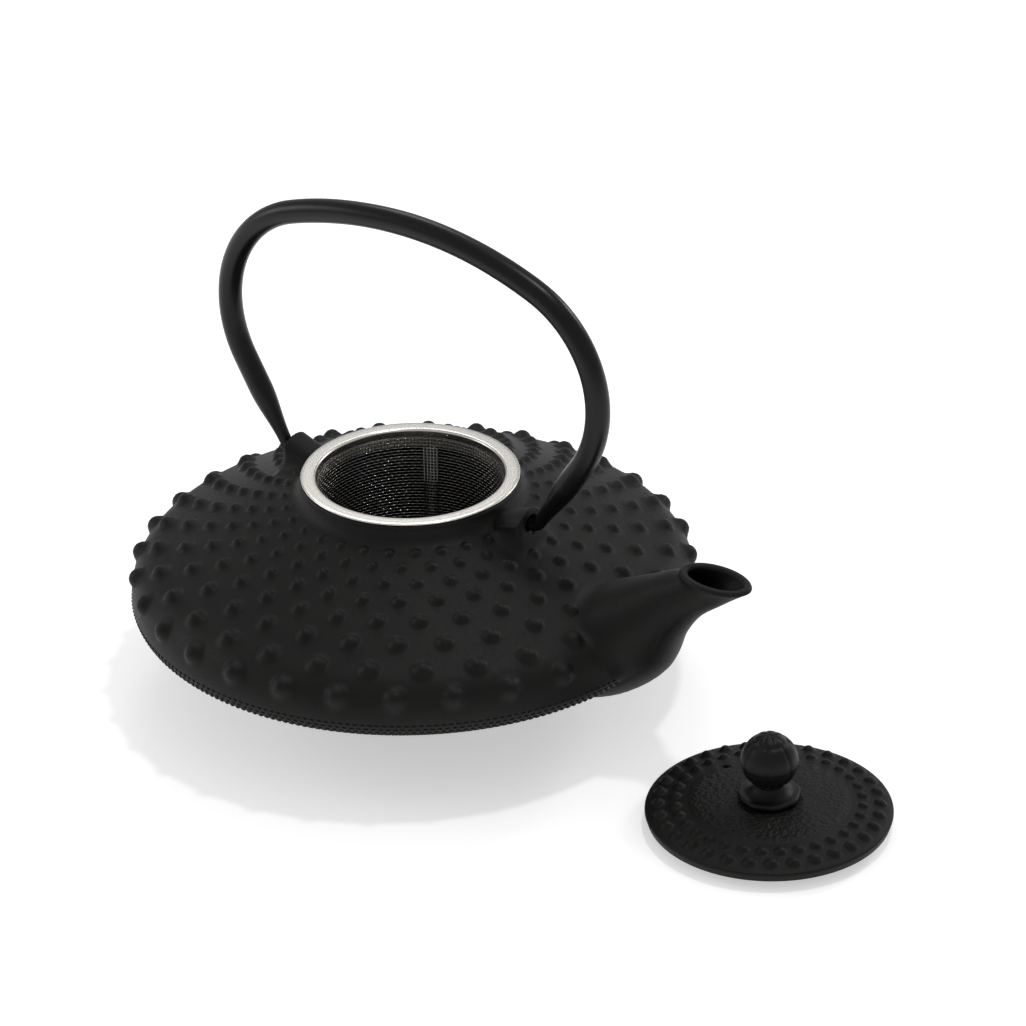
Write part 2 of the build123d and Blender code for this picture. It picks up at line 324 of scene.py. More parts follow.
def combine(target, *tools):
    """Joins or cuts target with other solids, each given with its operation."""
    for tool, operation in tools:
        step = target.modifiers.new(operation, "BOOLEAN")
        step.object = tool
        step.operation = operation
        step.solver = "EXACT"
    graph = bpy.context.evaluated_depsgraph_get()
    made = bpy.data.meshes.new_from_object(target.evaluated_get(graph))
    target.modifiers.clear()
    target.data = made
    for tool, _ in tools:
        bpy.data.objects.remove(tool)
    return target


def reopen(casting, place=(0, 0, 0)):
    """The mesh of a joined casting, moved to its place, in metres."""
    bm = bmesh.new()
    bm.from_mesh(casting.data)
    bpy.data.objects.remove(casting)
    move(bm, bm.verts, place)
    bmesh.ops.scale(bm, vec=(MM, MM, MM), verts=bm.verts)
    return bm


# --- materials -----------------------------------------------------------------------------


def colour(code):
    """sRGB hex to a linear colour."""
    values = [int(code[i:i + 2], 16) / 255 for i in (1, 3, 5)]
    return [v / 12.92 if v <= 0.04045 else ((v + 0.055) / 1.055) ** 2.4 for v in values] + [1.0]


def node(tree, kind, inputs=None, **settings):
    """Adds a node with its settings; an input given as a socket is linked to it."""
    made = tree.nodes.new(kind)
    for name, value in settings.items():
        setattr(made, name, value)
    for name, value in (inputs or {}).items():
        if isinstance(value, bpy.types.NodeSocket):
            tree.links.new(value, made.inputs[name])
        else:
            made.inputs[name].default_value = value
    return made


def ramp(tree, value, stops):
    """A colour ramp between two (position, hex colour) stops."""
    made = node(tree, "ShaderNodeValToRGB", {"Fac": value})
    for point, (position, code) in zip(made.color_ramp.elements, stops):
        point.position = position
        point.color = colour(code)
    return made.outputs["Color"]


def new_material(name, **settings):
    """A material and its tree, shader and Object coordinates."""
    material = bpy.data.materials.new(name)
    material.use_nodes = True
    tree = material.node_tree
    shader = tree.nodes["Principled BSDF"]
    for key, value in settings.items():
        shader.inputs[key].default_value = value
    coords = node(tree, "ShaderNodeTexCoord").outputs["Object"]
    return material, tree, shader, coords


def noise(tree, coords, size_mm, detail):
    """A cloud of blotches or grains of about this size."""
    inputs = {"Vector": coords, "Scale": 1 / (size_mm * MM), "Detail": detail}
    return node(tree, "ShaderNodeTexNoise", inputs).outputs["Fac"]


def relief(tree, shader, height, depth_mm, strength, under=None):
    """Raises a pattern by this much, on top of any relief under it."""
    inputs = {"Height": height, "Distance": depth_mm * MM, "Strength": strength}
    if under:
        inputs["Normal"] = under
    bump = node(tree, "ShaderNodeBump", inputs)
    tree.links.new(bump.outputs["Normal"], shader.inputs["Normal"])


def sand_cast_iron(
    name, grain_mm=0.7, roughness=(0.5, 0.62), dark="#0a0a09", light="#11110f", sheen=0.21,
    relief_mm=0.08,
):
    """Sand-cast iron under a thin matt black baked lacquer: a dry sheen broken by sand grain.

    Moulding sand is about 0.3 mm, which is too fine to show, so its grain is drawn at 0.7 mm.
    """
    material, tree, shader, coords = new_material(name, **{"Specular IOR Level": sheen})
    patches = noise(tree, coords, 14, 4.0)
    grain = noise(tree, coords, grain_mm, 3.0)
    tint = ramp(tree, patches, [(0.3, dark), (0.75, light)])
    tree.links.new(tint, shader.inputs["Base Color"])
    rough = node(tree, "ShaderNodeMapRange", {
        "Value": grain, "From Min": 0.3, "From Max": 0.7,
        "To Min": roughness[0], "To Max": roughness[1],
    })
    tree.links.new(rough.outputs["Result"], shader.inputs["Roughness"])
    relief(tree, shader, grain, relief_mm, 0.4)
    return material


def pebbled_iron():
    """The lid's casting: its middle is pebbled like leather, which breaks the sheen into sparks."""
    material = sand_cast_iron("sand_cast_iron_pebbled")
    tree = material.node_tree
    shader = tree.nodes["Principled BSDF"]
    coords = node(tree, "ShaderNodeTexCoord").outputs["Object"]
    from_middle = node(tree, "ShaderNodeVectorMath", {
        0: coords, 1: (LID_PLACE[0] * MM, LID_PLACE[1] * MM, LID_EDGE_TOP * MM),
    }, operation="DISTANCE")
    inside = node(tree, "ShaderNodeMapRange", {
        "Value": from_middle.outputs["Value"],
        "From Min": PEBBLED_R * MM, "From Max": (PEBBLED_R - PEBBLED_FADE) * MM,
    })
    height = node(tree, "ShaderNodeMath", {
        0: noise(tree, coords, PEBBLE_SIZE, 1.0), 1: inside.outputs["Result"],
    }, operation="MULTIPLY")
    grain = shader.inputs["Normal"].links[0].from_socket
    relief(tree, shader, height.outputs[0], 1.0, 1.0, under=grain)
    return material


def glazed_lining():
    """Vitreous enamel fired on the inside of the pot: dark, smooth and glossy."""
    material, tree, shader, coords = new_material("vitreous_enamel_fired", Roughness=0.2)
    cloud = noise(tree, coords, 9, 3.0)
    tint = ramp(tree, cloud, [(0.35, "#0d0d0d"), (0.7, "#191918")])
    tree.links.new(tint, shader.inputs["Base Color"])
    relief(tree, shader, cloud, 0.3, 0.3)
    return material


def stainless(name, roughness, tint, brush_mm=0.25):
    """Stainless steel, pressed and brushed round: a pale grey mirror drawn into faint rings.

    Brush marks are under 0.1 mm apart, which is too fine to show, so they are drawn at 0.25 mm.
    """
    material, tree, shader, coords = new_material(name, Metallic=1.0)
    x, y, z = node(tree, "ShaderNodeSeparateXYZ", {"Vector": coords}).outputs
    across = node(tree, "ShaderNodeCombineXYZ", {"X": x, "Y": y}).outputs[0]
    radius = node(tree, "ShaderNodeVectorMath", {0: across}, operation="LENGTH").outputs["Value"]
    # marks are long round the piece and hardly change down its height
    level = node(tree, "ShaderNodeMath", {0: z, 1: 0.12}, operation="MULTIPLY").outputs[0]
    rings = node(tree, "ShaderNodeCombineXYZ", {"X": radius, "Y": level})
    brush = noise(tree, rings.outputs[0], brush_mm, 2.0)
    tree.links.new(ramp(tree, brush, [(0.2, tint[0]), (0.8, tint[1])]), shader.inputs["Base Color"])
    rough = node(tree, "ShaderNodeMapRange", {
        "Value": brush, "To Min": roughness - 0.05, "To Max": roughness + 0.05,
    })
    tree.links.new(rough.outputs["Result"], shader.inputs["Roughness"])
    relief(tree, shader, brush, 0.01, 0.2)
    return material


IRON = sand_cast_iron("sand_cast_iron_matt_black")
PEBBLED = pebbled_iron()
LINING = glazed_lining()
# forged smooth and lacquered: hardly any grain, and long soft highlights along the bar
BAIL_IRON = sand_cast_iron(
    "wrought_iron_satin_black", grain_mm=1.4, roughness=(0.3, 0.35), dark="#070707",
    light="#0b0b0a", sheen=0.26, relief_mm=0.015,
)
# cast in a metal mould: finer than the pot's skin, so its grooves catch small highlights
KNOB_IRON = sand_cast_iron(
    "die_cast_iron_satin_black", grain_mm=0.6, roughness=(0.42, 0.5), dark="#0a0a09",
    light="#10100f", sheen=0.22, relief_mm=0.03,
)
FLANGE_STEEL = stainless("stainless_steel_brushed", 0.26, ("#d3d0ca", "#e6e3dc"))
# drawn through a die, with a narrow glint along each wire; its tint is painted shade: darker than
# the sheet's, for the black enamel behind the wires and the dark surroundings they reflect
WIRE_STEEL = stainless("stainless_wire_drawn", 0.17, ("#8d8c89", "#a6a5a2"))


# --- pot -----------------------------------------------------------------------------------


def lens_side(z):
    """The rounding of the lens at this height: its centre r, its radius and the slope past it."""
    if z >= RIM_Z:
        return RIM_R - SHOULDER_ARC, SHOULDER_ARC, DOME_ANGLE
    return RIM_R - BELLY_ARC, BELLY_ARC, BASE_ANGLE


def lens_gap(r, z):
    """Distance of a point outside the lens surface, negative inside."""
    centre, radius, slope = lens_side(z)
    across, up = r - centre, abs(z - RIM_Z)
    if atan2(up, across) > pi / 2 - slope:
        return across * sin(slope) + up * cos(slope) - radius
    return hypot(across, up) - radius


def lens_normal(point):
    """Outward direction of the lens surface near a point."""
    r = hypot(point.x, point.y)
    centre, radius, slope = lens_side(point.z)
    lean = min(atan2(abs(point.z - RIM_Z), r - centre), pi / 2 - slope)
    up = sin(lean) if point.z >= RIM_Z else -sin(lean)
    return Vector((point.x / r * cos(lean), point.y / r * cos(lean), up))


def on_lens(point):
    """The point moved square on to the lens surface."""
    return point - lens_normal(point) * lens_gap(hypot(point.x, point.y), point.z)


def dome_start():
    """(r, z) where the shoulder's rounding meets the upper cone."""
    return (
        RIM_R - SHOULDER_ARC + SHOULDER_ARC * sin(DOME_ANGLE),
        RIM_Z + SHOULDER_ARC * cos(DOME_ANGLE),
    )


def neck_fillet(inset=0.0):
    """Centre and radius of the hollow curve between the cone and the neck."""
    start = dome_start()
    r = NECK_R + NECK_FILLET
    z = start[1] + (start[0] - r) * tan(DOME_ANGLE) + NECK_FILLET / cos(DOME_ANGLE)
    return (r, z), NECK_FILLET + inset


def slope_radius(r, z):
    """Distance down the slope, measured as if the cone ran on past the shoulder."""
    start = dome_start()
    if r <= start[0] and z >= start[1]:
        return r
    lean = atan2(z - RIM_Z, r - (RIM_R - SHOULDER_ARC))
    return start[0] + (pi / 2 - DOME_ANGLE - lean) * SHOULDER_ARC * cos(DOME_ANGLE)


def ring_r(ring):
    """Radius of a ring of studs."""
    pull = LAST_RING_PULL if ring == STUD_RINGS - 1 else 0
    return FIRST_RING_R * RING_GROWTH**ring - pull


def bell(share):
    """Height of a stud from its middle (share 0) to its soft base (share 1)."""
    return (1 - share**STUD_CROWN) ** STUD_SKIRT if share < 1 else 0.0


def stud_angle(ring, index):
    """Where a stud stands; every second ring is set half a step on."""
    step = 2 * pi / STUDS_PER_RING
    return STUD_PHASE + step * (index + (0.5 if ring % 2 == 0 else 0))


def is_clear(ring, angle):
    """No stud is cast where the spout or a lug stands."""
    r = ring_r(ring)
    x, y = r * cos(angle), r * sin(angle)
    past_x, within_y, first_ring = SPOUT_BARE
    under_spout = x > past_x and abs(y) < within_y and ring >= first_ring
    under_lug = abs(x) < LUG_FACE_X + LUG_BARE[0] and abs(y) < LUG_HALF_WIDTH + LUG_BARE[1]
    return not under_spout and not under_lug


def stud_rise(r, z, angle):
    """How far the skin stands out over a stud at this place."""
    slope_r = slope_radius(r, z)
    rise = 0.0
    nearest = round(log(slope_r / FIRST_RING_R) / log(RING_GROWTH))
    for ring in (nearest - 1, nearest, nearest + 1):
        if not 0 <= ring < STUD_RINGS:
            continue
        step = 2 * pi / STUDS_PER_RING
        index = round((angle - stud_angle(ring, 0)) / step)
        here = stud_angle(ring, index)
        base = STUD_BASE * ring_r(ring)
        away = hypot((slope_r - ring_r(ring)) / cos(DOME_ANGLE), (angle - here) * r)
        if away < base and is_clear(ring, here):
            rise = max(rise, STUD_HEIGHT * ring_r(ring) * bell(away / base))
    return rise


def skin_outline():
    """Outer skin from the middle of the foot, out over the rim and up to the neck's top."""
    below, above = (RIM_R - BELLY_ARC, RIM_Z), (RIM_R - SHOULDER_ARC, RIM_Z)
    belly = arc(below, BELLY_ARC, BASE_ANGLE - pi / 2, 0, 6)
    foot_z = belly[0][1] - (belly[0][0] - FOOT_R) * tan(BASE_ANGLE)
    points = [(0, 0), (FOOT_R - FOOT_EDGE, 0), (FOOT_R, FOOT_EDGE), (FOOT_R, foot_z)]
    points += run(points[-1], belly[0], 4) + belly[1:]
    # rows on the dome keep the studs' own proportions: each is a fixed ratio from the next
    ratio = 1 + ROW_STRETCH * 2 * pi / (STUDS_PER_RING * FACETS_PER_STUD)
    start = dome_start()
    shoulder_steps = ceil(SHOULDER_ARC * (pi / 2 - DOME_ANGLE) / (RIM_R * (ratio - 1)))
    points += arc(above, SHOULDER_ARC, 0, pi / 2 - DOME_ANGLE, shoulder_steps)[1:]
    centre, radius = neck_fillet()
    curve = arc(centre, radius, 1.5 * pi - DOME_ANGLE, pi, 10)
    r = start[0] / ratio
    while r > curve[0][0] * ratio:
        points.append((r, start[1] + (start[0] - r) * tan(DOME_ANGLE)))
        r /= ratio
    points += curve + run(curve[-1], (NECK_R, NECK_TOP - NECK_EDGE), 3)
    points += arc((NECK_R - NECK_EDGE, NECK_TOP - NECK_EDGE), NECK_EDGE, 0, pi / 2, 3)[1:]
    return points


def lining_outline():
    """Inside of the casting, from the neck's top down to the middle of the floor."""
    below, above = (RIM_R - BELLY_ARC, RIM_Z), (RIM_R - SHOULDER_ARC, RIM_Z)
    centre, radius = neck_fillet(WALL)
    bore = NECK_R - WALL
    points = [(NECK_R - NECK_EDGE, NECK_TOP), (bore + NECK_EDGE, NECK_TOP)]
    points.append((bore, NECK_TOP - NECK_EDGE))
    points += arc(centre, radius, pi, 1.5 * pi - DOME_ANGLE, 5)
    points += arc(above, SHOULDER_ARC - WALL, pi / 2 - DOME_ANGLE, 0, 6)
    belly = arc(below, BELLY_ARC - WALL, 0, BASE_ANGLE - pi / 2, 6)[1:]
    last = belly[-1]
    floor_r = last[0] - (last[1] - FLOOR) / tan(BASE_ANGLE)
    points += belly + run(last, (floor_r, FLOOR), 5) + [(floor_r / 2, FLOOR), (0, FLOOR)]
    return points


def pot_shell():
    """The bowl, with studs raised out of its skin and the lining as its second material."""
    bm = bmesh.new()
    turn(bm, skin_outline(), STUDS_PER_RING, FACETS_PER_STUD)
    for vert in bm.verts:
        r, z = hypot(vert.co.x, vert.co.y), vert.co.z
        if z < RIM_Z or r < FIRST_RING_R * (1 - STUD_BASE):
            continue
        rise = stud_rise(r, z, atan2(vert.co.y, vert.co.x))
        if rise:
            vert.co += lens_normal(vert.co) * rise
    outside = set(bm.faces)
    turn(bm, lining_outline(), STUDS_PER_RING, FACETS_PER_STUD)
    for face in bm.faces:
        if face not in outside:
            face.material_index = 1
    return solid(bm, "pot_shell", [IRON, LINING])


def spout_section(share):
    """Section values at a share of the way from root to lip, on a curve through the sections."""
    spans = len(SPOUT_SECTIONS) - 1
    place = min(max(share, 0.0), 1.0) * spans
    index = min(int(place), spans - 1)
    t = place - index
    around = [SPOUT_SECTIONS[min(max(index + k, 0), spans)] for k in (-1, 0, 1, 2)]
    values = []
    for a, b, c, d in zip(*around):
        square, cube = 2 * a - 5 * b + 4 * c - d, 3 * b - a - 3 * c + d
        values.append(0.5 * (2 * b + (c - a) * t + square * t**2 + cube * t**3))
    return values


def spout_point(share, angle, inset=0.0):
    """A point of the spout's surface; angle 0 is at its top."""
    low_x, low_z, high_x, high_z, half_width = spout_section(share)
    low, high = Vector((low_x, 0, low_z)), Vector((high_x, 0, high_z))
    upright = (high - low).normalized()
    middle = (low + high) / 2
    return (
        middle + upright * cos(angle) * ((high - low).length / 2 - inset)
        + Vector((0, 1, 0)) * sin(angle) * (half_width - inset)
    )


def spout_root(angle):
    """Where a line of the spout's outside comes out of the lens: its share of the length."""
    inside, outside = 0.0, 0.8
    for _ in range(30):
        middle = (inside + outside) / 2
        point = spout_point(middle, angle)
        if lens_gap(hypot(point.x, point.y), point.z) < 0:
            inside = middle
        else:
            outside = middle
    return (inside + outside) / 2


def spout_line(angle):
    """One line of the spout from its sunken skirt, through its fillet, to its lip and back in."""
    root = spout_root(angle)
    corner = spout_point(root, angle)
    ahead = root
    while (spout_point(ahead, angle) - corner).length < SPOUT_FILLET and ahead < 0.75:
        ahead += 0.01
    start = spout_point(ahead, angle)
    normal = lens_normal(corner)
    aside = spout_point(root, angle + 0.02) - spout_point(root, angle - 0.02)
    outward = normal.cross(aside).normalized()
    skirt = on_lens(corner + outward * SPOUT_FILLET)
    points = [on_lens(corner + outward * (SPOUT_FILLET + SKIRT_RUN)) - normal * SKIRT_SINK]
    steps = 7
    for i in range(steps + 1):
        t = i / steps
        bend = skirt * (1 - t) ** 2 + corner * 2 * t * (1 - t) + start * t**2
        points.append(bend - normal * (SKIRT_DIP * (1 - t) ** 3))
    for i in range(1, SPOUT_RINGS + 1):
        share = ahead + (LIP_SHARE - ahead) * i / SPOUT_RINGS
        swell = LIP_SWELL * max(0.0, 1 - (LIP_SHARE - share) / LIP_LENGTH) ** 2
        points.append(spout_point(share, angle, -swell))
    lip, bore = points[-1], spout_point(LIP_SHARE, angle, SPOUT_WALL)
    middle, half = (lip + bore) / 2, (lip - bore) / 2
    for i in range(1, 9):
        turned = pi * i / 8
        over = Vector((0, 0, half.length * sin(turned) * LIP_ROUNDNESS))
        points.append(middle + half * cos(turned) + over)
    for i in range(1, 17):
        share = LIP_SHARE - (LIP_SHARE - root * 0.92) * i / 16
        thickness = SPOUT_WALL + (SPOUT_ROOT_WALL - SPOUT_WALL) * (1 - share)
        points.append(spout_point(share, angle, thickness))
    return points


def spout():
    """The spout's wall, closed on itself, with a skirt that runs out flat on the dome."""
    lines = {}
    bm = bmesh.new()
    count = len(spout_line(0.0))

    def place(u, v):
        column = round(u * SPOUT_FACETS) % SPOUT_FACETS
        if column not in lines:
            lines[column] = spout_line(2 * pi * column / SPOUT_FACETS)
        return lines[column][round(v * count) % count]

    drape(bm, SPOUT_FACETS, count, place)
    return solid(bm, "spout_wall")


def channel():
    """What the tea flows through: cuts the bowl's wall inside the spout."""
    bm = bmesh.new()

    def place(u, v):
        return spout_point(CHANNEL_SHARE - CHANNEL_SHARE * v, 2 * pi * u, CHANNEL_INSET)

    drape(bm, 48, 24, place)
    cap_ends(bm)
    return solid(bm, "channel_cutter")


def lug_outline(angle):
    """Plan of a lug seen from above: a rounded oblong from the neck to its outward face."""
    front, back = LUG_FACE_X - LUG_CENTRE_X, LUG_CENTRE_X - LUG_ROOT_X
    reach = front if cos(angle) > 0 else back
    along = abs(cos(angle) / reach) ** LUG_SQUARENESS
    across = abs(sin(angle) / LUG_HALF_WIDTH) ** LUG_SQUARENESS
    size = (along + across) ** (-1 / LUG_SQUARENESS)
    return Vector((LUG_CENTRE_X + size * cos(angle), size * sin(angle), 0))


def lug_top(point):
    """Height of the lug's arched back, which runs down to the neck."""
    start = LUG_RIDGE_START
    share = (point.x - LUG_ROOT_X - start) / (LUG_FACE_X - LUG_ROOT_X - start)
    ridge = LUG_ROOT_TOP + (LUG_TOP - LUG_ROOT_TOP) * share
    across = min(abs(point.y) / LUG_HALF_WIDTH, 1)
    return ridge - LUG_HALF_WIDTH * (1 - sqrt(1 - across * across)) * LUG_ARCH


def lug_line(angle):
    """From the middle of the lug's back, over its edge, down its side and out on the dome."""
    edge = lug_outline(angle)
    centre = Vector((LUG_CENTRE_X, 0, 0))
    outward = (edge - centre).normalized()
    points = []
    for i in range(13):
        flat = centre + (edge - outward * LUG_EDGE - centre) * sin(pi / 2 * i / 12)
        points.append(Vector((flat.x, flat.y, lug_top(flat))))
    brow = points[-1].z
    for i in range(1, 6):
        turned = pi / 2 * i / 5
        flat = edge - outward * LUG_EDGE * (1 - sin(turned))
        points.append(Vector((flat.x, flat.y, brow - LUG_EDGE * (1 - cos(turned)))))
    wall_top = points[-1]
    r = hypot(edge.x, edge.y)
    start = dome_start()
    dome_z = start[1] + (start[0] - r) * tan(DOME_ANGLE)
    foot = Vector((edge.x, edge.y, min(dome_z, wall_top.z - 0.8)))
    # the skirt fades out where the lug runs into the neck
    flare = LUG_FILLET * min(max((edge.x - NECK_R) / 3, 0.02), 1)
    rise = min(flare * 1.3, (wall_top.z - foot.z) * 0.96)
    bend_top = foot + Vector((0, 0, rise))
    for i in range(1, 4):
        points.append(wall_top + (bend_top - wall_top) * i / 3)
    downhill = lens_normal(foot)
    out = (outward - downhill * outward.dot(downhill)).normalized()
    for i in range(1, 8):
        t = i / 7
        bend = bend_top * (1 - t) ** 2 + foot * 2 * t * (1 - t) + (foot + out * flare) * t**2
        points.append(bend - downhill * 0.06 * t**3)
    points.append(foot + out * flare * 1.1 - downhill * 1.0)
    points.append(Vector((LUG_CENTRE_X, 0, LUG_FOOT_Z)))
    return points


def lug(side):
    """One lug on the spout's side (+1) or the back (-1)."""
    lines = {}
    bm = bmesh.new()
    count = len(lug_line(0.0)) - 1

    def place(u, v):
        column = round(u * LUG_FACETS) % LUG_FACETS
        if column not in lines:
            lines[column] = lug_line(2 * pi * column / LUG_FACETS)
        return lines[column][round(v * count)]

    drape(bm, LUG_FACETS, count, place)
    bmesh.ops.scale(bm, vec=(side, 1, 1), verts=bm.verts)
    return solid(bm, "lug")


def lug_bore(side):
    """The blind hole in a lug, with a softened mouth."""
    bm = bmesh.new()
    inner, mouth = LUG_FACE_X - LUG_HOLE_DEPTH, LUG_FACE_X - 0.7
    flared = LUG_HOLE_R + 0.9
    profile = [
        (0, inner), (LUG_HOLE_R, inner), (LUG_HOLE_R, mouth), (LUG_HOLE_R + 0.25, mouth + 0.4),
        (flared, LUG_FACE_X + 0.2), (flared, LUG_FACE_X + 4), (0, LUG_FACE_X + 4),
    ]
    turn(bm, profile, 4, 10)
    rotate(bm, bm.verts, pi / 2, "Y")
    bmesh.ops.scale(bm, vec=(side, 1, 1), verts=bm.verts)
    move(bm, bm.verts, (0, 0, HINGE_Z))
    return solid(bm, "lug_bore")


def pot():
    """The whole casting: the bowl with its spout, lugs, channel and holes."""
    casting = combine(
        pot_shell(),
        (channel(), "DIFFERENCE"),
        (spout(), "UNION"),
        (lug(1), "UNION"),
        (lug(-1), "UNION"),
        (lug_bore(1), "DIFFERENCE"),
        (lug_bore(-1), "DIFFERENCE"),
    )
    piece = wrap(reopen(casting), "pot_casting", "pot", [IRON, LINING], crease=50)
    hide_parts("pot_body")


def belly_place(down):
    """(r, z) and outward lean of the skin below the rim, a way down its slope."""
    centre = (RIM_R - BELLY_ARC, RIM_Z)
    bend = pi / 2 - BASE_ANGLE
    lean = min(down / BELLY_ARC, bend)
    past = max(0.0, down - BELLY_ARC * bend)
    r = centre[0] + BELLY_ARC * cos(lean) - past * cos(BASE_ANGLE)
    z = centre[1] - BELLY_ARC * sin(lean) - past * sin(BASE_ANGLE)
    return r, z, lean


def pot_dashes():
    """Rows of fine raised dashes cast with the pot; each row is set half a dash on."""
    step = 2 * pi / DASHES_AROUND
    bm = bmesh.new()
    down = DASH_START
    for row in range(DASH_ROWS):
        r, z, lean = belly_place(down)
        scale = r / RIM_R
        made = bmesh.ops.create_icosphere(bm, subdivisions=1, radius=1.0)["verts"]
        length, width, height = (half * scale for half in DASH_HALF)
        bmesh.ops.scale(bm, vec=(height, length, width), verts=made)
        rotate(bm, made, lean, "Y")
        move(bm, made, (r, 0, z))
        rotate(bm, made, step / 2 * (row % 2), "Z")
        down += DASH_ROW * scale
    repeat_round(bm, everything(bm), DASHES_AROUND)
    piece = finish_piece(bm, "pot_dashes", "pot", [IRON], crease=100)


# --- bail ----------------------------------------------------------------------------------


def bail_side(half_span, crown_r, corner_r):
    """Half of the bar's centre line from its crown to its tip in a lug: (x, z, radius) points."""
    crown = (0, ARCH_TOP - crown_r)
    lean = asin((half_span - corner_r) / (crown_r - corner_r))
    corner = (half_span - corner_r, crown[1] + (crown_r - corner_r) * cos(lean))
    bend = (LUG_FACE_X + HOOK_CLEAR, HINGE_Z + HOOK_BEND)
    across = (bend[0] - corner[0], bend[1] - corner[1])
    normal = atan2(across[1], across[0]) + acos((corner_r - HOOK_BEND) / hypot(*across))
    line = arc(crown, crown_r, pi / 2, pi / 2 - lean, 24)
    line += arc(corner, corner_r, pi / 2 - lean, normal, 30)[1:]
    limb = run(line[-1], arc(bend, HOOK_BEND, normal, normal, 1)[0], 30)
    length = hypot(limb[-1][0] - line[-1][0], limb[-1][1] - line[-1][1])
    points = [(x, z, BAR_R) for x, z in line]
    for index, (x, z) in enumerate(limb):
        left = length * (1 - (index + 1) / len(limb))
        thin = max(0.0, 1 - left / LIMB_TAPER)
        points.append((x, z, BAR_R + (HOOK_R - BAR_R) * thin * thin * (3 - 2 * thin)))
    points += [(x, z, HOOK_R) for x, z in arc(bend, HOOK_BEND, normal, -pi / 2, 12)[1:]]
    tip = run((bend[0], HINGE_Z), (LUG_FACE_X - HOOK_REACH, HINGE_Z), 8)
    for index, (x, z) in enumerate(tip):
        points.append((x, z, HOOK_R + (HOOK_TIP_R - HOOK_R) * (index + 1) / 8))
    return points


def bail():
    """Round bar, bent hot to an arch and drawn thin at both ends, a little uneven as forged."""
    far = [(-x, z, r) for x, z, r in bail_side(*BACK_HALF)]
    line = far[::-1] + bail_side(*SPOUT_HALF)[1:]
    last = len(line) - 1
    bm = bmesh.new()

    def place(u, v):
        index = round(v * last)
        x, z, r = line[index]
        before, after = line[max(index - 1, 0)], line[min(index + 1, last)]
        along = Vector((after[0] - before[0], 0, after[1] - before[1])).normalized()
        up = along.cross(Vector((0, 1, 0)))
        turned = 2 * pi * u
        uneven = 1 + BAR_UNEVEN * sin(0.31 * index) * cos(2 * turned) if r == BAR_R else 1.0
        return Vector((x, 0, z)) + (up * cos(turned) + Vector((0, 1, 0)) * sin(turned)) * r * uneven

    drape(bm, BAR_FACETS, last, place)
    rims = [edge for face in cap_ends(bm) for edge in face.edges]
    bmesh.ops.bevel(
        bm, geom=rims, offset=BAR_TIP_EDGE, segments=2, profile=0.5, affect="EDGES", material=-1,
    )
    piece = finish_piece(bm, "bail_bar", "bail", [BAIL_IRON])
    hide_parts("handle")


# --- infuser -------------------------------------------------------------------------------


def infuser_flange():
    """Pressed flange: flat, rolled over at its bore and turned down into a short collar."""
    top = NECK_TOP + SHEET
    roll = SHEET + 0.2
    roll_centre = (FLANGE_BORE_R + roll, top - roll)
    collar_r = FLANGE_BORE_R + SHEET + 0.1
    outline = [(collar_r, COLLAR_FOOT_Z), (collar_r, NECK_TOP)]
    outline += run(outline[-1], (FLANGE_R - 0.25, NECK_TOP), 3)
    outline += arc((FLANGE_R - SHEET / 2, NECK_TOP + SHEET / 2), SHEET / 2, -pi / 2, pi / 2, 6)
    outline += run(outline[-1], (roll_centre[0], top), 4)
    outline += arc(roll_centre, roll, pi / 2, pi, 8)[1:]
    outline += run(outline[-1], (FLANGE_BORE_R, COLLAR_FOOT_Z), 3)
    outline.append(outline[0])
    bm = bmesh.new()
    turn(bm, outline, 12, 16)
    piece = finish_piece(bm, "infuser_flange", "infuser", [FLANGE_STEEL])
    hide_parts("infuser_rim")


def wall_radius(z):
    """Radius of the tapered wall at a height."""
    return MESH_FOOT_R + (MESH_TOP_R - MESH_FOOT_R) * (z - MESH_FOOT_Z) / (MESH_TOP_Z - MESH_FOOT_Z)


def level_wires(rows):
    """Level wires of the weave, each passing in and out of the upright ones."""
    bm = bmesh.new()
    place = Matrix.Translation((MESH_FOOT_R, 0, 0)) @ Matrix.Rotation(pi / 2, 4, "X")
    section = bmesh.ops.create_circle(bm, segments=WIRE_SIDES, radius=WIRE_R, matrix=place)["verts"]
    spin_round(bm, section + edges_at(section), WARPS // 4, 8)
    first = everything(bm)
    for row in range(1, rows):
        copy = bmesh.ops.duplicate(bm, geom=first)["geom"]
        move(bm, verts_of(copy), (0, 0, row * WEFT_PITCH))
    for vert in bm.verts:
        row = round(vert.co.z / WEFT_PITCH)
        angle = atan2(vert.co.y, vert.co.x)
        weave = WIRE_R * WIRE_SWING * cos(angle * WARPS / 2 + pi * row)
        grow = wall_radius(MESH_FOOT_Z + row * WEFT_PITCH) - MESH_FOOT_R + weave
        vert.co += Vector((cos(angle) * grow, sin(angle) * grow, MESH_FOOT_Z))
    return finish_piece(bm, "infuser_level_wires", "infuser", [WIRE_STEEL], crease=100)


def upright_wires():
    """Upright wires of the weave: one drawn from foot to top, then repeated round."""
    bm = bmesh.new()
    foot = Vector((wall_radius(MESH_FOOT_Z), 0, MESH_FOOT_Z))
    top = Vector((wall_radius(MESH_TOP_Z), 0, MESH_TOP_Z))
    steps = 6
    section = bmesh.ops.create_circle(
        bm, segments=WIRE_SIDES, radius=WIRE_R * WIRE_SWING, matrix=Matrix.Translation(foot),
    )["verts"]
    edges = edges_at(section)
    for _ in range(steps):
        made = bmesh.ops.extrude_edge_only(bm, edges=edges)["geom"]
        edges = [item for item in made if isinstance(item, bmesh.types.BMEdge) and item.is_boundary]
        move(bm, verts_of(made), (top - foot) / steps)
    repeat_round(bm, everything(bm), WARPS)
    return finish_piece(bm, "infuser_upright_wires", "infuser", [WIRE_STEEL], crease=100)


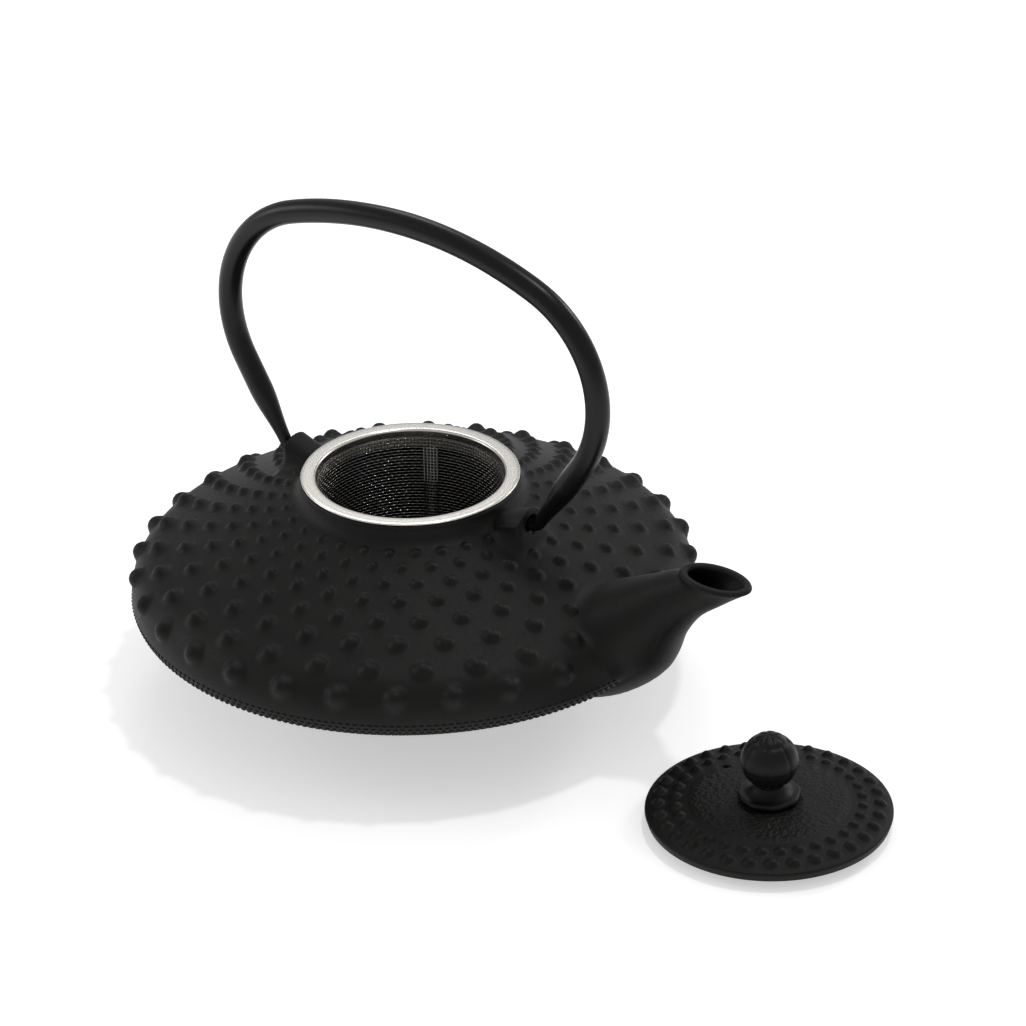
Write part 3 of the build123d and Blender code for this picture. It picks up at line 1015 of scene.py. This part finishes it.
def wall_seam():
    """Where the wall laps over itself: a second layer of the weave, just inside the first."""
    bm = bmesh.new()
    wire = {"cap_ends": True, "segments": WIRE_SIDES, "radius1": WIRE_R, "radius2": WIRE_R}
    step = 2 * pi / WARPS
    lap = SEAM_LAP * WIRE_R
    foot = Vector((MESH_FOOT_R - lap, 0, MESH_FOOT_Z))
    top = Vector((wall_radius(COLLAR_FOOT_Z) - lap, 0, COLLAR_FOOT_Z))
    tilt = (top - foot).to_track_quat("Z", "Y").to_matrix().to_4x4()
    for index in range(SEAM_WARPS):
        place = Matrix.Rotation(SEAM_ANGLE + step * index, 4, "Z")
        stands = place @ Matrix.Translation((foot + top) / 2) @ tilt
        bmesh.ops.create_cone(bm, depth=(top - foot).length, matrix=stands, **wire)
    for row in range(int((COLLAR_FOOT_Z - MESH_FOOT_Z) / WEFT_PITCH) + 1):
        z = MESH_FOOT_Z + row * WEFT_PITCH
        middle = SEAM_ANGLE + step * (SEAM_WARPS - 1) / 2
        place = Matrix.Rotation(middle, 4, "Z") @ Matrix.Translation((wall_radius(z) - lap, 0, z))
        lies = place @ Matrix.Rotation(pi / 2, 4, "X")
        bmesh.ops.create_cone(bm, depth=SEAM_WARPS * WEFT_PITCH, matrix=lies, **wire)
    return finish_piece(bm, "infuser_seam", "infuser", [WIRE_STEEL], crease=100)


def base_weave():
    """Woven disc at the foot of the infuser: wires along and across, each cut to the ring."""
    bm = bmesh.new()
    reach = MESH_FOOT_R - BASE_GAP
    count = int(2 * reach / WEFT_PITCH)
    first = -(count - 1) / 2 * WEFT_PITCH

    def place(u, v):
        turned = 2 * pi * u
        x = (v - 0.5) * count * WEFT_PITCH
        return Vector((x, first + WIRE_R * cos(turned), WIRE_R * sin(turned)))

    drape(bm, WIRE_SIDES, 2 * count, place)
    wire = everything(bm)
    for index in range(1, count):
        copy = bmesh.ops.duplicate(bm, geom=wire)["geom"]
        move(bm, verts_of(copy), (0, index * WEFT_PITCH, 0))
    for vert in bm.verts:
        index = round((vert.co.y - first) / WEFT_PITCH)
        y = first + index * WEFT_PITCH
        half = sqrt(reach * reach - y * y)
        x = min(max(vert.co.x, -half), half)
        weave = WIRE_R * WIRE_SWING * cos(pi * (x - first) / WEFT_PITCH + pi * index)
        vert.co = Vector((x, vert.co.y, vert.co.z + weave))
    bmesh.ops.dissolve_degenerate(bm, dist=1e-5, edges=bm.edges)
    across = bmesh.ops.duplicate(bm, geom=everything(bm))["geom"]
    rotate(bm, verts_of(across), pi / 2, "Z")
    move(bm, bm.verts, (0, 0, BASE_Z))
    piece = finish_piece(bm, "infuser_base_weave", "infuser", [WIRE_STEEL], crease=100)
    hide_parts("infuser_base_mesh")


def infuser_wall():
    """Plain weave of drawn wire, bent round to a tapered tube."""
    level = level_wires(int((MESH_TOP_Z - MESH_FOOT_Z) / WEFT_PITCH) + 1)
    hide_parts("infuser_mesh")
    for piece in (level, upright_wires(), wall_seam()):
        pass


# --- lid -----------------------------------------------------------------------------------


def lid_height(r):
    """Top of the lid's plate: flat in the middle, then down in a shallow arc to its edge."""
    if r <= LID_FLAT_R:
        return LID_EDGE_TOP + LID_CROWN
    share = (r - LID_FLAT_R) / (LID_R - LID_FLAT_R)
    return LID_EDGE_TOP + LID_CROWN * (1 - share**2)


def lid_rise(r, angle):
    """How far the lid's top stands out over a stud at this place."""
    step = 2 * pi / LID_STUDS
    rise = 0.0
    for ring, base, height, offset in LID_RINGS:
        here = step * (round(angle / step - offset) + offset)
        away = hypot(r - ring, (angle - here) * r)
        rise = max(rise, height * bell(away / base))
    return rise


def lid_plate():
    """The lid's casting: two rings of studs on top, its locating ring below, and the vent."""
    bm = bmesh.new()
    rows = [LID_R * i / LID_ROWS for i in range(LID_ROWS + 1)]
    outline = [(r, lid_height(r)) for r in rows if r < LID_R - LID_EDGE]
    outline += arc((LID_R - LID_EDGE, LID_EDGE_TOP - LID_EDGE), LID_EDGE, pi / 2, -0.2, 5)
    under = LID_EDGE_TOP - LID_THICK
    inner = LOCATING_R - LOCATING_WALL
    outline += [
        (LID_R - 0.6, under), (LOCATING_R + 2, under + 0.6), (LOCATING_R, under + 0.4),
        (LOCATING_R, 0.6), (LOCATING_R - 0.5, 0.0), (inner + 0.5, 0.0), (inner, 0.6),
        (inner, under + 0.7), (LID_FLAT_R, under + LID_CROWN), (0, under + LID_CROWN),
    ]
    turn(bm, outline, LID_STUDS, FACETS_PER_LID_STUD)
    for vert in bm.verts:
        r = hypot(vert.co.x, vert.co.y)
        if vert.co.z > lid_height(r) - 0.01:
            vert.co.z += lid_rise(r, atan2(vert.co.y, vert.co.x))
    plate = solid(bm, "lid_casting_raw")
    bm = bmesh.new()
    bmesh.ops.create_cone(bm, cap_ends=True, segments=32, radius1=VENT_R, radius2=VENT_R, depth=30)
    move(bm, bm.verts, (*VENT_AT, 6))
    plate = combine(plate, (solid(bm, "vent_cutter"), "DIFFERENCE"))
    piece = wrap(reopen(plate, LID_PLACE), "lid_casting", "lid", [PEBBLED])
    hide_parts("lid_plate")


def rosette():
    """Flared collar under the ball, its edge drawn into soft scallops."""
    seat = LID_EDGE_TOP + LID_CROWN
    bm = bmesh.new()
    outline = [(0, seat), (ROSETTE_R - 2.2, seat), (ROSETTE_R - 1.3, seat + 0.6)]
    outline += arc((ROSETTE_R - 1.0, seat + 1.6), 1.0, -pi / 3, pi / 1.9, 7)
    outline += [
        (ROSETTE_R - 2.2, seat + 2.75), (ROSETTE_R - 3.2, seat + 3.2),
        (ROSETTE_TOP_R - 0.2, seat + 3.9), (BALL_NECK_R + 0.8, seat + 4.7),
        (BALL_NECK_R + 0.3, seat + 5.5), (0, seat + 5.5),
    ]
    turn(bm, outline, ROSETTE_LOBES, 14)
    for vert in bm.verts:
        r = hypot(vert.co.x, vert.co.y)
        angle = atan2(vert.co.y, vert.co.x)
        share = max(0.0, (r - 5) / (ROSETTE_R - 5))
        pinch = 1 - 0.018 * share * (1 - cos(angle * ROSETTE_LOBES))
        vert.co.x *= pinch
        vert.co.y *= pinch
    move(bm, bm.verts, LID_PLACE)
    piece = finish_piece(bm, "knob_collar", "lid", [KNOB_IRON])
    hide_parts("knob_rosette")


def knob():
    """Ball knob: lobes parted by upright grooves, and a small blossom cast on its top."""
    seat = LID_EDGE_TOP + LID_CROWN
    bm = bmesh.new()
    low = acos(BALL_NECK_R / BALL_R)
    outline = [(0, seat + ROSETTE_HEIGHT - 0.5), (BALL_NECK_R, seat + ROSETTE_HEIGHT - 0.5)]
    outline += arc((0, BALL_Z), BALL_R, -low, pi / 2, 56)
    outline[-1] = (0, BALL_Z + BALL_R)
    turn(bm, outline, KNOB_GROOVES, 24)
    for vert in bm.verts:
        x, y, z = vert.co.x, vert.co.y, vert.co.z - BALL_Z
        r = hypot(x, y)
        angle = atan2(y, x) - GROOVE_AT
        if z > -BALL_R * 0.9 and r > 0.01:
            step = 2 * pi / KNOB_GROOVES
            off = abs(angle / step - round(angle / step)) * step * r
            blossom = r < BLOSSOM_R and z > 0
            groove = 0.0 if blossom else GROOVE_DEPTH * exp(-(off / GROOVE_HALF) ** 2)
            # the lower half of its mould was a hair smaller
            groove += MOULD_STEP if z < MOULD_LINE else 0.0
            vert.co -= Vector((x, y, z)).normalized() * groove
            share = r / BLOSSOM_R
            if z > 0:
                petal = abs(cos(angle * BLOSSOM_PETALS / 2)) ** 0.5
                vert.co.z -= BLOSSOM_RIM[0] * exp(-((share - 1) / BLOSSOM_RIM[1]) ** 2)
                vert.co.z += PETAL_HEIGHT * petal * sin(pi * share) ** 0.6 if blossom else 0.0
    move(bm, bm.verts, LID_PLACE)
    piece = finish_piece(bm, "knob_ball", "lid", [KNOB_IRON])
    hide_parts("lid_knob")


# --- pieces --------------------------------------------------------------------------------

pot()
pot_dashes()
bail()
infuser_flange()
infuser_wall()
base_weave()
lid_plate()
rosette()
knob()

for name in ("infuser_base_ring", "knob_washer"):
    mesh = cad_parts[name].data
    mesh.materials.clear()
    mesh.materials.append(FLANGE_STEEL)


# --- stage, light and camera ---------------------------------------------------------------


CAMERA_AT = (767, -994, 733.5)
CAMERA_TURN = radians(36.1)
CAMERA_PITCH = radians(28.21)
CAMERA_ROLL = radians(-1.18)
CAMERA_LENS = 148.5
FLOOR_HALF = 4.0  # metres, as the lamps' places are
FLOOR_GLOW = 0.48
LAMP_TARGET = (0.03, 0, 0.05)
SKY_LIGHT = 0.46


def floor():
    """Pale studio paper, lit a little from within so that it stays white under the shadow."""
    bm = bmesh.new()
    bmesh.ops.create_grid(bm, x_segments=1, y_segments=1, size=FLOOR_HALF)
    material = new_material("studio_paper_white", **{
        "Roughness": 0.9, "Base Color": colour("#f4f4f4"), "Emission Color": colour("#ffffff"),
        "Emission Strength": FLOOR_GLOW, "Specular IOR Level": 0.1,
    })[0]
    wrap(bm, "floor", None, [material])


def lamp(name, place, size, power):
    """A square softbox aimed at the pot."""
    data = bpy.data.lights.new(name, "AREA")
    data.size = size
    data.energy = power
    made = bpy.data.objects.new(name, data)
    bpy.context.scene.collection.objects.link(made)
    made.location = place
    aim = Vector(LAMP_TARGET) - Vector(place)
    made.rotation_euler = aim.to_track_quat("-Z", "Y").to_euler()


def camera():
    """Looks down on the pot from the spout's right, with a long lens."""
    data = bpy.data.cameras.new("camera")
    data.lens = CAMERA_LENS
    data.sensor_width = 36
    data.clip_end = 20
    made = bpy.data.objects.new("camera", data)
    bpy.context.scene.collection.objects.link(made)
    turned = Matrix.Rotation(CAMERA_TURN, 4, "Z") @ Matrix.Rotation(pi / 2 - CAMERA_PITCH, 4, "X")
    rolled = turned @ Matrix.Rotation(CAMERA_ROLL, 4, "Z")
    made.matrix_world = Matrix.Translation(Vector(CAMERA_AT) * MM) @ rolled
    bpy.context.scene.camera = made


floor()
lamp("back_softbox", (-0.62, 0.7, 1.0), 0.4, 2.0)
lamp("right_softbox", (0.35, 1.25, 0.7), 0.3, 3)
lamp("left_softbox", (-1.1, -0.5, 0.55), 0.5, 2.6)
lamp("small_key", (0.25, 0.2, 1.5), 0.12, 4)
camera()

world = bpy.data.worlds.new("studio")
bpy.context.scene.world = world
world.use_nodes = True
background = world.node_tree.nodes["Background"]
background.inputs["Color"].default_value = colour("#ffffff")
background.inputs["Strength"].default_value = SKY_LIGHT
bpy.context.scene.view_settings.view_transform = "Standard"
